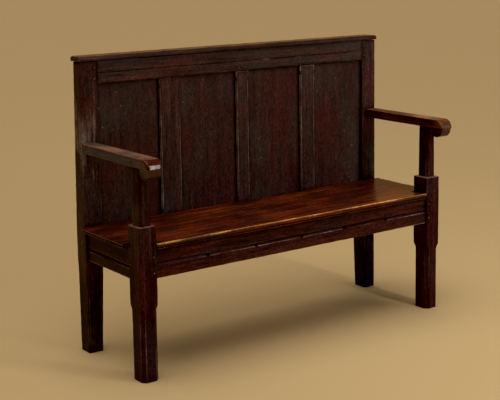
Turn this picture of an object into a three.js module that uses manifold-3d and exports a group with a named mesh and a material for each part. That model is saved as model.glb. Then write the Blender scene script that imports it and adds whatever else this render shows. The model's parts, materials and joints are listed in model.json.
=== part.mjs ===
// Panelled settle bench of dark oak: open arms with scrolled ends, a board seat and pegged joints.
// Lengths are millimetres. X runs along the seat, Y from the front to the back, Z up.
// While the pieces are made, Y is zero at the front faces of the front posts.

import * as THREE from 'three';
import { mergeVertices } from 'three/addons/utils/BufferGeometryUtils.js';
import Module from 'manifold-3d';

const wasm = await Module();
wasm.setup();

// Overall sizes
const settleWidth = 1320; // across the outer faces of the posts
const settleDepth = 431; // front faces of the front posts to the backs of the rear legs
const seatHeight = 454; // floor to the top of the seat board at its front edge
const armHeight = 740; // floor to the tops of the arms
const backHeight = 1015; // floor to the tops of the rear posts, under the cap board

// Clearances
const fitGap = 0.3; // between faces that touch
const endGap = 1.5; // at the bottom of a mortise or a peg hole
const overrun = 2; // how far a cut runs past the face that it opens

// Front posts: leg, block and arm support in one timber
const frontPostWidth = 63;
const frontPostDepth = 74;
const arrisWear = 1.5; // small flat that wear has left on every long edge
const legChamfer = 13;
const legStopDrop = 82; // from the front rail down to where the leg's chamfers begin
const stopLength = 22; // curved stop at the end of a post's chamfer
const blockRise = 60; // block above the seat board
const supportInset = 9; // shoulder round the foot of the arm support
const supportTaper = 1.5; // how much further the support draws in at its top
const supportChamfer = 9; // on the corners of the support; the two front ones stop under the arm
const supportSquare = 12; // square stretch under the arm

// Rear posts: leg and stile of the back in one timber
const rearPostWidth = 67;
const rearPostDepth = 66;
const stileTopDepth = 45;
const rearFootWidth = 55;
const rearLegTaperDrop = 30; // from the side rails down to where the leg begins to taper
const rearLegChamfer = 5;

// Seat rails
const railThickness = 33;
const frontRailHeight = 96;
const sideRailHeight = 103;
const frontRailSetBack = 9; // rail's face behind the front posts' faces
const sideRailSetBack = 8; // rail's face inside the posts' outer faces
const tenonThickness = 12;
const tenonLength = 38;
const tenonFace = 6; // tenon's face behind the rail's face
const tenonShoulder = 10; // above and below the tenon
const rearTenonLength = 28; // rear rail's tenon, which stops short of the side rail's

// Rope groove round the seat rails, with the holes that once held the seat's ropes
const grooveHeight = 11;
const grooveDepth = 6;
const frontGrooveRise = 42; // lower lip of the groove above the rail's lower edge
const sideGrooveRise = 34;
const grooveDeepShare = 0.8; // how far up the groove its deepest line lies
const ropeHoleDiameter = 14;
const ropeHolePitch = 197;
const ropeHoleLift = 4; // hole's centre above the groove's lower lip
const ropeHoleCount = 5;

// Framed back
const frameSetBack = 1; // rails and muntins behind the stiles' faces
const topRailHeight = 79;
const topRailThickness = 30;
const topTenonLength = 42;
const muntinThickness = 26;
const muntinWidths = [87, 56, 70];
const muntinHeadTenon = 38;
const muntinFootTenon = 26;
const muntinChamfer = 4;
const railChamfer = 5; // on the top rail's lower edge, over each panel
const chamferStop = 18; // curved stop at each end of the back's chamfers
const scratchRise = 38; // scratched line above the top rail's lower edge
const scratchWidth = 4;
const scratchDepth = 1.6;
const panelRecess = 11; // wood in front of the panel groove
const panelEdge = 8.5; // panel's thickness in the groove
const panelThickness = 13;
const panelBevel = 36; // width of the bevel round the panel's back
const panelGrooveDepth = 8;
const panelSlack = 1.5; // room for the panel to swell

// Cap board
const capThickness = 19;
const capNose = 9; // radius of the rounded upper edge
const capLowerArris = 2;
const capFrontOverhang = 7;
const capRearOverhang = 11;
const capEndOverhang = 4;

// Seat board and the bearer under its back edge
const seatThickness = 20;
const seatFillet = 4.5; // height of the small square member under the rounded nose
const seatFilletSetBack = 2.5;
const seatQuirk = 1.5; // height of the slot between the nose and the fillet
const seatQuirkDepth = 3;
const seatNoseReach = 2; // nose in front of the posts' faces
const seatEndOverhang = 15; // board past the posts' outer faces
const seatDish = 8; // how far wear has hollowed the board where people sit
const seatEndDish = 3; // and at the board's ends
const dishRunOut = 280; // length over which the hollow dies away towards each end
const dishStartShare = 0.02; // share of the board's depth at which the hollow begins
const dishFullShare = 0.42; // and at which it is full
const dishEndShare = 0.78; // share at which it begins to rise again
const dishKeptShare = 0.45; // share of the hollow that the board's back edge has kept
const seatPostGap = 1.5; // beside the posts
const seatNotchGap = 9; // behind the front posts
const bearerWidth = 25;
const bearerHeight = 30;

// Arms
const armThickness = 34;
const armWidth = 58; // at the scroll
const armRearWidth = 51; // at the stile
const armOverhang = 1.5; // arm's outer face past the posts' outer faces
const armArris = 3; // rounding of the arm's long edges
const noseArris = 8; // what hands have made of it at the scroll
const scrollRadius = 35;
const scrollSetBack = 3; // lower half of the scroll behind its nose
const noseReach = 66; // scroll in front of the front posts' faces
const scrollSideInset = 7; // lower half of the scroll inside the arm's side faces
const armTenonWidth = 16;
const armTenonHeight = 20;
const armTenonLength = 38;
const supportTenonWidth = 20;
const supportTenonDepth = 32;
const supportTenonLength = 24;

// Pegs
const pegDiameter = 9;
const pegProud = 0.6; // how far a peg's head stands out
const pegInset = 11; // peg's centre past the shoulder of its tenon
const pegTenonEdge = 12; // peg's centre inside the edge of its tenon
const muntinPegRise = 15; // above the top rail's lower edge
const muntinPegShare = 0.25; // of the muntin's width, to each side of its centre line
const railPegLength = 40;
const sidePegLength = 34;
const muntinPegLength = 24;
const armPegLength = 36;
const seatPegShare = 0.47; // of the way from the middle of the seat to the front posts
const seatPegLength = 44;
const bearerPegShares = [0.25, 0.75]; // of the way from the middle of the bearer to its ends
const bearerPegLength = 42;

// Smoothness of round shapes
const pegSides = 10;
const holeSides = 20;
const scrollSegments = 20;
const noseSegments = 7;
const dishSegments = 14;
const dishSections = 16;
const stopShares = [0, 0.25, 0.5, 0.75, 1];
const roundShares = [0, 0.33, 0.67, 1];

// Places worked out from the sizes, for the left half of the bench
const outerX = -settleWidth / 2;
const frontInnerX = outerX + frontPostWidth;
const rearInnerX = outerX + rearPostWidth;
const rearFaceY = settleDepth - rearPostDepth;
const frameFaceY = rearFaceY + frameSetBack;
const railTop = seatHeight - seatThickness - fitGap;
const frontRailLow = railTop - frontRailHeight;
const sideRailLow = railTop - sideRailHeight;
const blockTop = seatHeight + blockRise;
const armUnderside = armHeight - armThickness;
const supportTop = armUnderside - fitGap;
const topRailLow = backHeight - topRailHeight;
const ropeHoleHeight = frontRailLow + frontGrooveRise + ropeHoleLift;
const panelGrooveY = [frameFaceY + panelRecess, frameFaceY + panelRecess + panelEdge + 2 * fitGap];
const frameTenonY = [panelGrooveY[0] + fitGap, panelGrooveY[1] - fitGap];
const scrollY = scrollRadius - noseReach;
const scrollZ = armHeight - scrollRadius;
const armOuterX = outerX - armOverhang;
const seatEndX = outerX - seatEndOverhang;
const seatFrontY = -seatNoseReach;
const seatBackY = rearFaceY - seatPostGap;
const seatUnderside = railTop + fitGap;

const axes = ['x', 'y', 'z'];

function mix(from, to, share) {
  return from + (to - from) * share;
}

function eased(share) {
  return (1 - Math.cos(Math.PI * share)) / 2;
}

function grown([low, high], by) {
  return [low - by, high + by];
}

// A three.js geometry as a closed solid
function solidOf(geometry) {
  geometry.deleteAttribute('normal');
  geometry.deleteAttribute('uv');
  const merged = mergeVertices(geometry);
  const corners = merged.index.array;
  const kept = [];
  for (let i = 0; i < corners.length; i += 3) {
    const [a, b, c] = [corners[i], corners[i + 1], corners[i + 2]];
    if (a !== b && b !== c && c !== a) {
      kept.push(a, b, c);
    }
  }
  const mesh = new wasm.Mesh({
    numProp: 3,
    vertProperties: new Float32Array(merged.attributes.position.array),
    triVerts: new Uint32Array(kept),
  });
  return new wasm.Manifold(mesh);
}

function geometryOf(solid) {
  const mesh = solid.getMesh();
  const geometry = new THREE.BufferGeometry();
  geometry.setAttribute('position', new THREE.BufferAttribute(new Float32Array(mesh.vertProperties), 3));
  geometry.setIndex(new THREE.BufferAttribute(new Uint32Array(mesh.triVerts), 1));
  geometry.computeVertexNormals();
  return geometry;
}

// The same solid on the other side of the bench
function mirrored(solid) {
  const geometry = geometryOf(solid);
  const place = geometry.attributes.position;
  for (let i = 0; i < place.count; i += 1) {
    place.setX(i, -place.getX(i));
  }
  const corners = geometry.index.array;
  for (let i = 0; i < corners.length; i += 3) {
    [corners[i], corners[i + 1]] = [corners[i + 1], corners[i]];
  }
  return solidOf(geometry);
}

function block([x0, x1], [y0, y1], [z0, z1]) {
  const geometry = new THREE.BoxGeometry(x1 - x0, y1 - y0, z1 - z0);
  geometry.translate((x0 + x1) / 2, (y0 + y1) / 2, (z0 + z1) / 2);
  return solidOf(geometry);
}

function shapeOf(points) {
  return new THREE.Shape(points.map(([u, v]) => new THREE.Vector2(u, v)));
}

// A profile of Y and Z values, run along X
function alongX(points, [x0, x1]) {
  const geometry = new THREE.ExtrudeGeometry(shapeOf(points), { depth: x1 - x0, bevelEnabled: false });
  geometry.applyMatrix4(profileTurnX);
  geometry.translate(x0, 0, 0);
  return solidOf(geometry);
}

// A profile of X and Z values, run along Y
function alongY(points, [y0, y1]) {
  const geometry = new THREE.ExtrudeGeometry(shapeOf(points), { depth: y1 - y0, bevelEnabled: false });
  geometry.rotateX(Math.PI / 2);
  geometry.translate(0, y1, 0);
  return solidOf(geometry);
}

const profileTurnX = new THREE.Matrix4().makeBasis(
  new THREE.Vector3(0, 1, 0),
  new THREE.Vector3(0, 0, 1),
  new THREE.Vector3(1, 0, 0),
);

// A round bar or hole along one axis
function round(axis, centre, radius, length, sides) {
  const geometry = new THREE.CylinderGeometry(radius, radius, length, sides);
  turnAlong(geometry, axis);
  geometry.translate(...centre);
  return solidOf(geometry);
}

function turnAlong(geometry, axis) {
  if (axis === 'x') {
    geometry.rotateZ(Math.PI / 2);
  }
  if (axis === 'z') {
    geometry.rotateX(Math.PI / 2);
  }
}

// A closed skin over flat rings with the same number of corners each, seen from the far end anticlockwise
function lofted(rings) {
  const count = rings[0].length;
  const positions = rings.flat().flat();
  const corners = [];
  for (let ring = 0; ring < rings.length - 1; ring += 1) {
    for (let i = 0; i < count; i += 1) {
      const here = ring * count + i;
      const beside = ring * count + (i + 1) % count;
      corners.push(here, beside, beside + count);
      corners.push(here, beside + count, here + count);
    }
  }
  const last = (rings.length - 1) * count;
  for (let i = 1; i < count - 1; i += 1) {
    corners.push(0, i + 1, i);
    corners.push(last, last + i, last + i + 1);
  }
  const geometry = new THREE.BufferGeometry();
  geometry.setAttribute('position', new THREE.Float32BufferAttribute(positions, 3));
  geometry.setIndex(corners);
  return solidOf(geometry);
}

// Level section of a post: a rectangle with its front and back corners cut off
function postRing([x0, x1], [y0, y1], front, back, z) {
  return [
    [x0 + front, y0, z],
    [x1 - front, y0, z],
    [x1, y0 + front, z],
    [x1, y1 - back, z],
    [x1 - back, y1, z],
    [x0 + back, y1, z],
    [x0, y1 - back, z],
    [x0, y0 + front, z],
  ];
}

// A tenon grows from its piece along one axis; its mortise is wider by the fit and deeper by the end gap
function tenonOf({ spans, axis, tip }) {
  const root = spans.map((span) => [...span]);
  root[axes.indexOf(axis)][tip > 0 ? 0 : 1] -= tip * overrun;
  return block(...root);
}

function mortiseOf({ spans, axis, tip }) {
  const cut = spans.map((span) => grown(span, fitGap));
  const along = axes.indexOf(axis);
  cut[along] = [...spans[along]];
  cut[along][tip > 0 ? 1 : 0] += tip * endGap;
  cut[along][tip > 0 ? 0 : 1] -= tip * overrun;
  return block(...cut);
}

function joined(first, ...others) {
  return others.reduce((sum, other) => sum.add(other), first);
}

function cutBy(first, ...others) {
  return others.reduce((rest, other) => rest.subtract(other), first);
}

// Tenons of the left half of the bench
const frontRailTenon = {
  spans: [
    [frontInnerX - tenonLength, frontInnerX + fitGap],
    [frontRailSetBack + tenonFace, frontRailSetBack + tenonFace + tenonThickness],
    [frontRailLow + tenonShoulder, railTop - tenonShoulder],
  ],
  axis: 'x',
  tip: -1,
};

const sideTenonX = [
  outerX + sideRailSetBack + tenonFace,
  outerX + sideRailSetBack + tenonFace + tenonThickness,
];

const sideRailFrontTenon = {
  spans: [
    sideTenonX,
    [frontPostDepth - tenonLength, frontPostDepth + fitGap],
    [sideRailLow + tenonShoulder, railTop - tenonShoulder],
  ],
  axis: 'y',
  tip: -1,
};

const sideRailRearTenon = {
  spans: [
    sideTenonX,
    [rearFaceY - fitGap, rearFaceY + tenonLength],
    [sideRailLow + tenonShoulder, railTop - tenonShoulder],
  ],
  axis: 'y',
  tip: 1,
};

const rearRailTenon = {
  spans: [
    [rearInnerX - rearTenonLength, rearInnerX + fitGap],
    [frameTenonY[0], frameTenonY[0] + tenonThickness],
    [frontRailLow + tenonShoulder, railTop - tenonShoulder],
  ],
  axis: 'x',
  tip: -1,
};

const topRailTenon = {
  spans: [
    [rearInnerX - topTenonLength, rearInnerX + fitGap],
    frameTenonY,
    [topRailLow + panelGrooveDepth, backHeight - tenonShoulder],
  ],
  axis: 'x',
  tip: -1,
};

const supportCentre = [outerX + frontPostWidth / 2, frontPostDepth / 2];

const supportTenon = {
  spans: [
    grown([supportCentre[0], supportCentre[0]], supportTenonWidth / 2),
    grown([supportCentre[1], supportCentre[1]], supportTenonDepth / 2),
    [supportTop, supportTop + supportTenonLength],
  ],
  axis: 'z',
  tip: 1,
};

const armTenonCentre = [armOuterX + armRearWidth / 2, armUnderside + armThickness / 2];

const armTenon = {
  spans: [
    grown([armTenonCentre[0], armTenonCentre[0]], armTenonWidth / 2),
    [rearFaceY - fitGap, rearFaceY + armTenonLength],
    grown([armTenonCentre[1], armTenonCentre[1]], armTenonHeight / 2),
  ],
  axis: 'y',
  tip: 1,
};

// Openings of the back, between the stiles and the muntins
const muntinWood = muntinWidths.reduce((sum, width) => sum + width, 0);
const panelShow = (-2 * rearInnerX - muntinWood) / (muntinWidths.length + 1);
const muntinSpans = [];
const panelSpans = [];
let nextX = rearInnerX;
for (const width of muntinWidths) {
  panelSpans.push([nextX, nextX + panelShow]);
  muntinSpans.push([nextX + panelShow, nextX + panelShow + width]);
  nextX += panelShow + width;
}
panelSpans.push([nextX, nextX + panelShow]);

function frontPost() {
  const xs = [outerX, frontInnerX];
  const ys = [0, frontPostDepth];
  const legStopTop = frontRailLow - legStopDrop;
  const rings = [postRing(xs, ys, legChamfer, legChamfer, 0)];
  for (const share of stopShares) {
    const chamfer = mix(legChamfer, arrisWear, eased(share));
    rings.push(postRing(xs, ys, chamfer, chamfer, legStopTop - stopLength * (1 - share)));
  }
  rings.push(postRing(xs, ys, arrisWear, arrisWear, blockTop));
  const supportLength = supportTop - blockTop;
  const supportRing = (rise, stopped) => {
    const inset = mix(supportInset, supportInset + supportTaper, rise / supportLength);
    const front = mix(supportChamfer, arrisWear, stopped);
    return postRing(grown(xs, -inset), grown(ys, -inset), front, supportChamfer, blockTop + rise);
  };
  rings.push(supportRing(0, 0));
  for (const share of stopShares) {
    const rise = supportLength - supportSquare - stopLength * (1 - share);
    rings.push(supportRing(rise, eased(share)));
  }
  rings.push(supportRing(supportLength, 1));
  const timber = joined(lofted(rings), tenonOf(supportTenon));
  return cutBy(timber, mortiseOf(frontRailTenon), mortiseOf(sideRailFrontTenon));
}

function rearPost() {
  const ring = (width, depth, chamfer, z) => (
    postRing([outerX, outerX + width], [rearFaceY, rearFaceY + depth], chamfer, chamfer, z)
  );
  const taperTop = sideRailLow - rearLegTaperDrop;
  const timber = lofted([
    ring(rearFootWidth, rearPostDepth, rearLegChamfer, 0),
    ring(rearPostWidth, rearPostDepth, rearLegChamfer, taperTop),
    ring(rearPostWidth, rearPostDepth, arrisWear, taperTop + stopLength),
    ring(rearPostWidth, rearPostDepth, arrisWear, railTop),
    ring(rearPostWidth, stileTopDepth, arrisWear, backHeight),
  ]);
  const panelGroove = block(
    [rearInnerX - panelGrooveDepth, rearInnerX + overrun],
    panelGrooveY,
    [railTop - panelGrooveDepth, topRailLow + panelGrooveDepth],
  );
  const mortises = [sideRailRearTenon, rearRailTenon, topRailTenon, armTenon].map(mortiseOf);
  return cutBy(timber, panelGroove, ...mortises);
}

// Section of a seat rail: distance behind its outer face, and height above its lower edge
function seatRailSection(height, grooveRise) {
  return [
    [0, arrisWear],
    [arrisWear, 0],
    [railThickness, 0],
    [railThickness, height],
    [0, height],
    [0, grooveRise + grooveHeight],
    [grooveDepth, grooveRise + grooveHeight * grooveDeepShare],
    [0, grooveRise],
  ];
}

function ropeHoles(faceY) {
  const holes = [];
  for (let i = 0; i < ropeHoleCount; i += 1) {
    const x = (i - (ropeHoleCount - 1) / 2) * ropeHolePitch;
    const centre = [x, faceY + railThickness / 2, ropeHoleHeight];
    holes.push(round('y', centre, ropeHoleDiameter / 2, railThickness + 2 * overrun, holeSides));
  }
  return holes;
}

function frontRail() {
  const section = seatRailSection(frontRailHeight, frontGrooveRise);
  const profile = section.map(([depth, rise]) => [frontRailSetBack + depth, frontRailLow + rise]);
  const shoulder = -frontInnerX - fitGap;
  const tenon = tenonOf(frontRailTenon);
  const rail = joined(alongX(profile, [-shoulder, shoulder]), tenon, mirrored(tenon));
  return cutBy(rail, ...ropeHoles(frontRailSetBack));
}

function sideRail() {
  const section = seatRailSection(sideRailHeight, sideGrooveRise);
  const profile = section.map(([depth, rise]) => [outerX + sideRailSetBack + depth, sideRailLow + rise]);
  const rail = alongY(profile, [frontPostDepth + fitGap, rearFaceY - fitGap]);
  return joined(rail, tenonOf(sideRailFrontTenon), tenonOf(sideRailRearTenon));
}

// A muntin, cut to its place in the back
function muntin([x0, x1]) {
  const low = railTop + fitGap;
  const high = topRailLow - fitGap;
  const ring = (chamfer, z) => (
    postRing([x0, x1], [frameFaceY, frameFaceY + muntinThickness], chamfer, arrisWear, z)
  );
  const rings = [ring(arrisWear, low)];
  for (const share of stopShares) {
    rings.push(ring(mix(arrisWear, muntinChamfer, eased(share)), low + chamferStop * (1 + share)));
  }
  for (const share of stopShares) {
    rings.push(ring(mix(muntinChamfer, arrisWear, eased(share)), high - chamferStop * (2 - share)));
  }
  rings.push(ring(arrisWear, high));
  const grooveZ = grown([low, high], overrun);
  const grooves = [
    block([x0 - overrun, x0 + panelGrooveDepth], panelGrooveY, grooveZ),
    block([x1 - panelGrooveDepth, x1 + overrun], panelGrooveY, grooveZ),
  ];
  const stick = cutBy(lofted(rings), ...grooves);
  return joined(stick, ...muntinTenons([x0, x1]).map(tenonOf));
}

function muntinTenons([x0, x1]) {
  const xs = [x0 + panelGrooveDepth, x1 - panelGrooveDepth];
  return [
    { spans: [xs, frameTenonY, [topRailLow - fitGap, topRailLow + muntinHeadTenon]], axis: 'z', tip: 1 },
    { spans: [xs, frameTenonY, [railTop - muntinFootTenon, railTop + fitGap]], axis: 'z', tip: -1 },
  ];
}

// Cutter for a chamfer on the top rail's lower front edge, with a curved stop at each end
function stoppedChamfer([x0, x1]) {
  const ring = (size, x) => [
    [x, frameFaceY - overrun, topRailLow + size + overrun],
    [x, frameFaceY - overrun, topRailLow - overrun],
    [x, frameFaceY + size + overrun, topRailLow - overrun],
  ];
  const rings = [];
  for (const share of stopShares) {
    rings.push(ring(mix(-arrisWear, railChamfer, eased(share)), x0 + chamferStop * share));
  }
  for (const share of stopShares) {
    rings.push(ring(mix(railChamfer, -arrisWear, eased(share)), x1 - chamferStop * (1 - share)));
  }
  return lofted(rings);
}

function topRail() {
  const shoulder = -rearInnerX - fitGap;
  const ys = [frameFaceY, frameFaceY + topRailThickness];
  const board = block([-shoulder, shoulder], ys, [topRailLow, backHeight]);
  const tenon = tenonOf(topRailTenon);
  const cutX = grown([-shoulder, shoulder], overrun);
  const groove = block(cutX, panelGrooveY, [topRailLow - overrun, topRailLow + panelGrooveDepth]);
  const scratch = alongX([
    [frameFaceY - overrun, topRailLow + scratchRise - scratchWidth],
    [frameFaceY + scratchDepth, topRailLow + scratchRise],
    [frameFaceY - overrun, topRailLow + scratchRise + scratchWidth],
  ], cutX);
  const mortises = muntinSpans.map((span) => mortiseOf(muntinTenons(span)[0]));
  const chamfers = panelSpans.map(stoppedChamfer);
  const cut = cutBy(board, groove, scratch, ...mortises, ...chamfers);
  return joined(cut, tenon, mirrored(tenon));
}

function rearRail() {
  const section = seatRailSection(frontRailHeight, frontGrooveRise);
  const backY = frameFaceY + railThickness;
  const profile = section.map(([depth, rise]) => [backY - depth, frontRailLow + rise]);
  const shoulder = -rearInnerX - fitGap;
  const cutX = grown([-shoulder, shoulder], overrun);
  const groove = block(cutX, panelGrooveY, [railTop - panelGrooveDepth, railTop + overrun]);
  const mortises = muntinSpans.map((span) => mortiseOf(muntinTenons(span)[1]));
  const rail = cutBy(alongX(profile, [-shoulder, shoulder]), groove, ...mortises, ...ropeHoles(frameFaceY));
  const tenon = tenonOf(rearRailTenon);
  return joined(rail, tenon, mirrored(tenon));
}

// A panel, flat in front and bevelled round its back so that its edges fit the grooves
function backPanel([left, right]) {
  const reach = panelGrooveDepth - panelSlack;
  const xs = grown([left, right], reach);
  const zs = [railTop - panelGrooveDepth + fitGap, topRailLow + reach];
  const ring = (y, inset) => {
    const [x0, x1] = grown(xs, -inset);
    const [z0, z1] = grown(zs, -inset);
    return [[x0, y, z0], [x0, y, z1], [x1, y, z1], [x1, y, z0]];
  };
  const bevelStart = panelGrooveDepth + panelSlack;
  return lofted([
    ring(frameTenonY[0], 0),
    ring(frameTenonY[1], 0),
    ring(frameTenonY[1], bevelStart),
    ring(frameTenonY[0] + panelThickness, bevelStart + panelBevel),
  ]);
}

function arc([u, v], radius, from, to, segments) {
  const points = [];
  for (let i = 0; i <= segments; i += 1) {
    const angle = mix(from, to, i / segments);
    points.push([u + radius * Math.cos(angle), v + radius * Math.sin(angle)]);
  }
  return points;
}

// Moulded edge of the seat board, from the underside to the top: fillet, quirk and half-round nose.
// The first value is the distance in from the nose, the second the height above the underside.
function seatNosing() {
  const radius = (seatThickness - seatFillet - seatQuirk) / 2;
  const centre = [radius, seatThickness - radius];
  const quirkTop = seatFillet + seatQuirk;
  return [
    [seatFilletSetBack, 0],
    [seatFilletSetBack, seatFillet],
    [seatFilletSetBack + seatQuirkDepth, seatFillet],
    [seatFilletSetBack + seatQuirkDepth, quirkTop],
    ...arc(centre, radius, 3 * Math.PI / 2, Math.PI / 2, 2 * noseSegments),
  ];
}

// Depth of the seat's worn hollow at a place along it and a share of the board's depth from its nose
function dishAt(x, share) {
  const reached = (share - dishStartShare) / (dishFullShare - dishStartShare);
  const worn = 1 - (1 - Math.min(1, reached)) ** 2;
  const kept = eased(Math.max(0, (share - dishEndShare) / (1 - dishEndShare)));
  const fromEnd = -seatEndX - Math.abs(x);
  const full = eased(Math.min(1, Math.max(0, fromEnd / dishRunOut)));
  return mix(seatEndDish, seatDish, full) * (worn - dishKeptShare * kept);
}

// What wear has taken off the seat board, as rings across it that also stand above its top
function seatHollow() {
  const high = seatHeight + overrun;
  const ring = (x) => {
    const points = [
      [x, mix(seatFrontY, seatBackY, dishFullShare), high],
      [x, seatFrontY - overrun, high],
    ];
    for (let i = 0; i <= dishSegments; i += 1) {
      const share = i / dishSegments;
      points.push([x, mix(seatFrontY, seatBackY, share), seatHeight - dishAt(x, share)]);
    }
    points.push([x, seatBackY + overrun, seatHeight - dishAt(x, 1)]);
    points.push([x, seatBackY + overrun, high]);
    return points;
  };
  const rings = [];
  for (let i = 0; i <= dishSections; i += 1) {
    rings.push(ring(mix(seatEndX - overrun, overrun - seatEndX, i / dishSections)));
  }
  return lofted(rings);
}

function seatBoard() {
  const nose = seatNosing();
  const front = nose.map(([inward, rise]) => [seatFrontY + inward, seatUnderside + rise]);
  const left = nose.map(([inward, rise]) => [seatEndX + inward, seatUnderside + rise]);
  const right = nose.map(([inward, rise]) => [-seatEndX - inward, seatUnderside + rise]).reverse();
  const back = [[seatBackY, seatHeight], [seatBackY, seatUnderside]];
  const width = alongX([...front, ...back], [seatEndX, -seatEndX]);
  const length = alongY([...left, ...right], grown([seatFrontY, seatBackY], overrun));
  const notch = block(
    [seatEndX - overrun, frontInnerX + seatPostGap],
    [seatFrontY - overrun, frontPostDepth + seatNotchGap],
    grown([seatUnderside, seatHeight], overrun),
  );
  return cutBy(width.intersect(length), notch, mirrored(notch), seatHollow());
}

function seatBearer() {
  const half = -rearInnerX - seatPostGap;
  const backY = frameFaceY - fitGap;
  return block([-half, half], [backY - bearerWidth, backY], [railTop - bearerHeight, railTop]);
}

function capBoard() {
  const low = backHeight + fitGap;
  const high = low + capThickness;
  const frontY = rearFaceY - capFrontOverhang;
  const backY = rearFaceY + stileTopDepth + capRearOverhang;
  const endX = outerX - capEndOverhang;
  const edge = [
    [capLowerArris, 0],
    [0, capLowerArris],
    ...arc([capNose, capThickness - capNose], capNose, Math.PI, Math.PI / 2, noseSegments),
  ];
  const front = edge.map(([inward, rise]) => [frontY + inward, low + rise]);
  const left = edge.map(([inward, rise]) => [endX + inward, low + rise]);
  const right = edge.map(([inward, rise]) => [-endX - inward, low + rise]).reverse();
  const width = alongX([...front, [backY, high], [backY, low]], [endX, -endX]);
  return width.intersect(alongY([...left, ...right], grown([frontY, backY], overrun)));
}

// The bar of the arm, with the upper front quarter of its scroll, narrowing towards the stile.
// Its rings stand across the bar, drawn in at both side faces to round the long edges.
function armBar() {
  const ring = (angle, fromInside) => {
    const across = 1 - Math.cos(angle);
    const inset = 1 - Math.sin(angle);
    const place = (y, z, arris) => {
      const share = (y + noseReach) / (rearFaceY + noseReach);
      const offset = fromInside ? armWidth - arris * across : arris * across;
      return [armOuterX + offset * mix(1, armRearWidth / armWidth, share), y, z];
    };
    const noseLow = armUnderside + noseArris * inset - scrollZ;
    const arcEnd = Math.PI - Math.asin(noseLow / (scrollRadius - noseArris * inset));
    const outline = [
      place(rearFaceY + overrun, armUnderside + armArris * inset, armArris),
      place(rearFaceY + overrun, armHeight - armArris * inset, armArris),
    ];
    for (let i = 0; i <= scrollSegments; i += 1) {
      const share = i / scrollSegments;
      const arris = mix(armArris, noseArris, eased(share));
      const radius = scrollRadius - arris * inset;
      const turn = mix(Math.PI / 2, arcEnd, share);
      outline.push(place(scrollY + radius * Math.cos(turn), scrollZ + radius * Math.sin(turn), arris));
    }
    return outline;
  };
  const angles = roundShares.map((share) => share * Math.PI / 2);
  return lofted([
    ...angles.map((angle) => ring(angle, false)),
    ...[...angles].reverse().map((angle) => ring(angle, true)),
  ]);
}

function arm() {
  const scroll = round(
    'x',
    [armOuterX + armWidth / 2, scrollY, scrollZ],
    scrollRadius - scrollSetBack,
    armWidth - 2 * scrollSideInset,
    2 * scrollSegments,
  );
  const trim = block(
    grown([armOuterX, armOuterX + armWidth], overrun),
    [rearFaceY - fitGap, rearFaceY + armTenonLength],
    grown([armUnderside, armHeight], overrun),
  );
  const bar = cutBy(joined(armBar(), scroll), trim, mortiseOf(supportTenon));
  return joined(bar, tenonOf(armTenon));
}

// Woods: the seat is rubbed lighter and warmer than the rest, and the legs are the darkest
function oak(color, roughness) {
  return new THREE.MeshStandardMaterial({ color, roughness, metalness: 0, flatShading: true });
}

const postOak = oak('#341812', 0.5);
const railOak = oak('#4a231a', 0.5);
const frameOak = oak('#4b2b21', 0.6);
const panelOak = oak('#472720', 0.6);
const seatOak = oak('#8a4a22', 0.4);
const armOak = oak('#63291a', 0.3);
const pegOak = oak('#6b4a38', 0.7);

const pieces = new Map();

function addPair(name, solid, material) {
  pieces.set(`${name}_left`, { solid, material });
  pieces.set(`${name}_right`, { solid: mirrored(solid), material });
}

addPair('front_post', frontPost(), postOak);
addPair('rear_post', rearPost(), frameOak);
addPair('side_seat_rail', sideRail(), railOak);
addPair('arm', arm(), armOak);
pieces.set('front_seat_rail', { solid: frontRail(), material: railOak });
pieces.set('rear_seat_rail', { solid: rearRail(), material: railOak });
pieces.set('top_rail', { solid: topRail(), material: frameOak });
pieces.set('cap_board', { solid: capBoard(), material: frameOak });
pieces.set('seat_board', { solid: seatBoard(), material: seatOak });
pieces.set('seat_bearer', { solid: seatBearer(), material: railOak });
muntinSpans.forEach((span, i) => {
  pieces.set(`muntin_${i + 1}`, { solid: muntin(span), material: frameOak });
});
panelSpans.forEach((span, i) => {
  pieces.set(`back_panel_${i + 1}`, { solid: backPanel(span), material: panelOak });
});

// A peg is driven from its head along one axis through the named pieces
const pegs = [];

function addPeg(name, head, axis, into, length, through) {
  pegs.push({ name, head, axis, into, length, through });
}

// Pegs that both ends of the bench have, given for the left end
function addPegPair(name, head, axis, into, length, through) {
  const nodes = (side) => through.map((piece) => piece.replace('*', side));
  const [x, y, z] = head;
  const turn = axis === 'x' ? -1 : 1;
  addPeg(`${name}_left`, [x, y, z], axis, into, length, nodes('left'));
  addPeg(`${name}_right`, [-x, y, z], axis, turn * into, length, nodes('right'));
}

function pegHeights({ spans }) {
  const [low, high] = spans[axes.indexOf('z')];
  return [low + pegTenonEdge, high - pegTenonEdge];
}

pegHeights(frontRailTenon).forEach((z, i) => {
  const head = [frontInnerX - pegInset, 0, z];
  addPegPair(`peg_front_rail_${i + 1}`, head, 'y', 1, railPegLength, ['front_post_*', 'front_seat_rail']);
});

pegHeights(rearRailTenon).forEach((z, i) => {
  const head = [rearInnerX - pegInset, rearFaceY, z];
  addPegPair(`peg_rear_rail_${i + 1}`, head, 'y', 1, railPegLength, ['rear_post_*', 'rear_seat_rail']);
});

pegHeights(topRailTenon).forEach((z, i) => {
  const head = [rearInnerX - pegInset, rearFaceY, z];
  addPegPair(`peg_top_rail_${i + 1}`, head, 'y', 1, sidePegLength, ['rear_post_*', 'top_rail']);
});

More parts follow.
